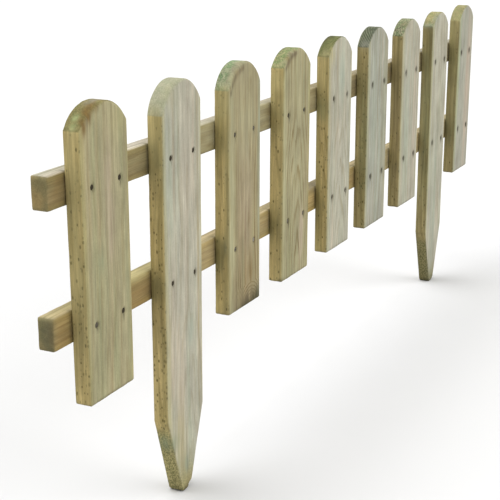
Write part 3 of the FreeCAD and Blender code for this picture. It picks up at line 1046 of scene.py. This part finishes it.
def face_colour(t, wood, look, half_width):
    """A planed face with streaks and late wood, yellower towards its arrises."""
    base = look["face"]
    face = t.blend(t.band(wood.broad[0], 0.42, 0.68), base, toned(base, PALE_BAND))
    face = t.blend(t.band(wood.broad[1], 0.5, 0.72), face, toned(base, WARM_BAND))
    face = t.scale_by(face, t.swing(wood.medium, 0.7))
    face = t.blend(t.times(wood.late, look["contrast"]), face, toned(base, LATE_FACE))
    edge = t.plus(t.math("ABSOLUTE", wood.across), t.times(wood.medium, 4 * MM))
    edge = t.band(edge, half_width - 6 * MM, half_width + 1 * MM)
    return t.blend(t.times(edge, 0.55), face, toned(base, YELLOW_ARRIS))


def side_colour(t, wood, look, seed):
    """A sawn side, and the small dark cuts in it, thickest towards the front and the foot."""
    cell = {0: t.math("DIVIDE", wood.depth, CUT_DEEP)}
    cell[1] = t.plus(t.math("DIVIDE", wood.along, CUT_TALL), 9.1 * seed)
    cell = t.put("CombineXYZ", cell).outputs[0]
    dots = t.put("TexVoronoi", {"Vector": cell, "Scale": 1.0}, voronoi_dimensions="2D").outputs
    chance = t.channels(dots["Color"])
    crowd = t.times(t.band(wood.depth, 6 * MM, -6 * MM), t.band(wood.along, *CUTS_THIN_OUT))
    crowd = t.times(t.plus(0.35, t.times(crowd, 0.65)), look["specks"])
    spread = t.plus(0.16, t.times(chance[1], 0.34))
    cut = t.minus(1.0, t.math("DIVIDE", dots["Distance"], spread))
    cut = t.times(t.band(cut, 0.0, 0.6), t.math("LESS_THAN", chance[0], crowd))
    cut = t.times(cut, t.plus(0.35, t.times(chance[2], 0.55)))

    tone = look["side"]
    side = t.blend(t.band(wood.broad[2], 0.35, 0.7), toned(tone, LIGHT_SIDE), toned(tone, DARK_SIDE))
    side = t.scale_by(side, t.swing(wood.medium, 1.15))
    side = t.blend(t.times(wood.late, 0.5), side, toned(tone, LATE_SIDE))
    return t.blend(cut, side, toned(tone, CUT_SIDE)), cut


def crown_colour(t, wood, look):
    """End grain: rings again, blotched where the treatment soaked in, with the lines of the saw."""
    tone = look["end"]
    part = min(1.0, look["mottle"] / 0.6)
    dark = toned(tone, (1 - 0.24 * part, 1 - 0.11 * part, 1 - 0.26 * part))
    light = toned(tone, (1 + 0.2 * part, 1 + 0.12 * part, 1 + 0.12 * part))
    end = t.blend(t.band(t.noise("soaked", wood.offset), 0.4, 0.6), dark, light)
    blotch = t.times(t.minus(t.band(wood.fine, 0.35, 0.65), 0.5), look["mottle"])
    end = t.scale_by(end, t.plus(1.0, blotch))
    narrow = t.math("FRACT", t.times(wood.phase, NARROW_RINGS))
    narrow = t.minus(t.band(narrow, 0.3, 0.8), t.band(narrow, 0.85, 1.0))
    end = t.blend(t.times(narrow, look["hatch"]), end, toned(tone, LATE_END))
    strength, slope = look["saw"]
    tooth = t.plus(t.times(wood.depth, -slope), t.plus(wood.along, t.times(wood.medium, 2 * MM)))
    tooth = t.math("PINGPONG", tooth, SAW_PITCH)
    tooth = t.times(t.band(tooth, 0.5 * MM, 1.4 * MM), t.band(wood.cloud, 0.3, 0.55))
    return t.blend(t.times(tooth, strength), end, toned(tone, SAWN_END))


def timber(name, origin, half_width):
    """Treated softwood, cut from a log whose middle runs beside the board."""
    look = LOOKS[name]
    is_rail = name in RAILS
    seed = sorted(LOOKS).index(name)
    t = Tree(bpy.data.materials.new(name + "_timber"))
    wood = wood_grain(t, look, origin, seed, is_rail)
    face = face_colour(t, wood, look, half_width)
    side, cut = side_colour(t, wood, look, seed)
    if is_rail:
        tone = look["end"]
        end = t.band(wood.cloud, 0.35, 0.65)
        end = t.blend(end, toned(tone, DARK_RAIL_END), toned(tone, LIGHT_RAIL_END))
        end = t.scale_by(end, t.plus(0.9, t.times(wood.fine, 0.25)))
    else:
        tone = look["foot"]
        grit = t.band(t.noise("grit", wood.offset), 0.40, 0.62)
        foot = t.blend(grit, toned(tone, LIGHT_GRIT), toned(tone, DARK_GRIT))
        if name.startswith("stake_"):
            soiled = t.minus(wood.along, t.times(t.swing(wood.cloud, 2.0), 12 * MM))
            face = t.blend(t.times(t.band(soiled, *SOILED_FACE), 0.85), face, foot)
            foot = t.blend(t.band(soiled, *SOILED_SIDE), foot, side)
        end = t.blend(t.band(wood.along, *CROWN_TO_FOOT), crown_colour(t, wood, look), foot)

    rim = t.attribute("rim")
    sawn = t.band(t.attribute("end_distance"), -1.0 * MM, 0.6 * MM)
    colour = t.blend(rim, face, t.blend(sawn, side, end))
    for texture, amount in ((wood.cloud, 0.7), (wood.fibre, 0.8), (wood.fine, 0.35)):
        colour = t.scale_by(colour, t.swing(texture, amount))

    # Stains, painted light and painted shade, then the iron round the nails.
    tint_share = t.times(t.attribute("tint", "Alpha"), t.swing(wood.cloud, 1.6))
    tint_colour = t.scale_by(t.attribute("tint", "Color"), t.swing(wood.medium, 1.2))
    colour = t.blend(tint_share, colour, tint_colour)
    colour = t.blend(t.attribute("halo"), colour, IRON_STAIN)
    colour = t.blend(t.times(t.attribute("mark"), 0.8), colour, DIRT)

    height = t.plus(t.times(wood.fibre, 0.5), t.times(wood.medium, 0.6))
    height = t.plus(height, t.times(wood.late, 0.35))
    height = t.minus(height, t.times(t.times(cut, rim), 1.6))
    rough_end = t.times(t.times(rim, sawn), t.times(wood.fine, 0.3 + look["mottle"]))
    bump = {"Height": t.plus(height, rough_end), "Strength": 0.6, "Distance": 0.5 * MM}
    return t.shade(colour, t.plus(0.6, t.times(wood.medium, 0.25)), 0.12, bump)


def steel():
    """Dull wire-nail steel, browned by the treatment, with a painted glint on a few heads."""
    t = Tree(bpy.data.materials.new("nail_steel"))
    place = t.put("TexCoord", {}).outputs["Object"]
    patch = t.noise("patch", place)
    bright = t.times(t.attribute("bright"), t.band(patch, 0.3, 0.6))
    colour = t.blend(t.band(patch, 0.4, 0.62), BROWNED_IRON, IRON)
    # A painted glint on some heads.
    colour = t.blend(bright, colour, GLINT_ON_IRON)
    bump = {"Height": patch, "Strength": 0.5, "Distance": 0.15 * MM}
    return t.shade(colour, t.plus(0.45, t.times(patch, 0.4)), 0.12, bump)


def make_floor():
    """A plain white floor that takes the panel's soft shadow."""
    signs = ((-1, -1), (1, -1), (1, 1), (-1, 1))
    corners = [(x * FLOOR_REACH, y * FLOOR_REACH, FLOOR_LEVEL) for x, y in signs]
    mesh = bpy.data.meshes.new("floor")
    mesh.from_pydata(corners, [], [(0, 1, 2, 3)])
    t = Tree(bpy.data.materials.new("floor_white"))
    mesh.materials.append(t.shade(t.blend(t.seen(), FLOOR_BOUNCE, FLOOR_SEEN), 1.0, 0.0))
    add("floor", mesh)


def make_light():
    """An even studio: a soft sky, a broad light from above and behind, and one from the front."""
    t = Tree(bpy.data.worlds.new("studio"))
    bpy.context.scene.world = t.owner
    t.nodes.clear()
    skies = {0: t.seen()}
    for index, strength in enumerate((SKY_LIGHT, SKY_SEEN), 1):
        sky = t.put("Background", {"Color": (1, 1, 1, 1), "Strength": strength})
        skies[index] = sky.outputs[0]
    sky = t.put("MixShader", skies).outputs[0]
    t.put("OutputWorld", {"Surface": sky})
    for name, source, strength, angle in LAMPS:
        lamp = bpy.data.lights.new(name, "SUN")
        lamp.energy = strength
        lamp.angle = math.radians(angle)
        aim(add(name, lamp), source)


def aim(thing, back):
    """Turns a lamp or a camera so that its back points this way."""
    thing.rotation_mode = "QUATERNION"
    thing.rotation_quaternion = Vector(back).to_track_quat("Z", "Y")


def make_camera():
    camera = add("camera", bpy.data.cameras.new("camera"))
    turn, rise = math.radians(CAMERA_AZIMUTH), math.radians(CAMERA_ELEVATION)
    aim(camera, (math.sin(turn) * math.cos(rise), -math.cos(turn) * math.cos(rise), math.sin(rise)))
    camera.location = CAMERA_PLACE
    camera.data.lens = CAMERA_LENS
    bpy.context.scene.camera = camera


make_camera()
make_light()
make_floor()
for picket in PICKETS:
    make_picket(picket)
for rail in RAILS:
    make_rail(rail)
nail_finish = steel()
for node in sorted(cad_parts):
    if node.startswith("nails_"):
        make_nails(node, nail_finish)

bpy.context.scene.view_settings.view_transform = "Standard"
bpy.context.view_layer.update()
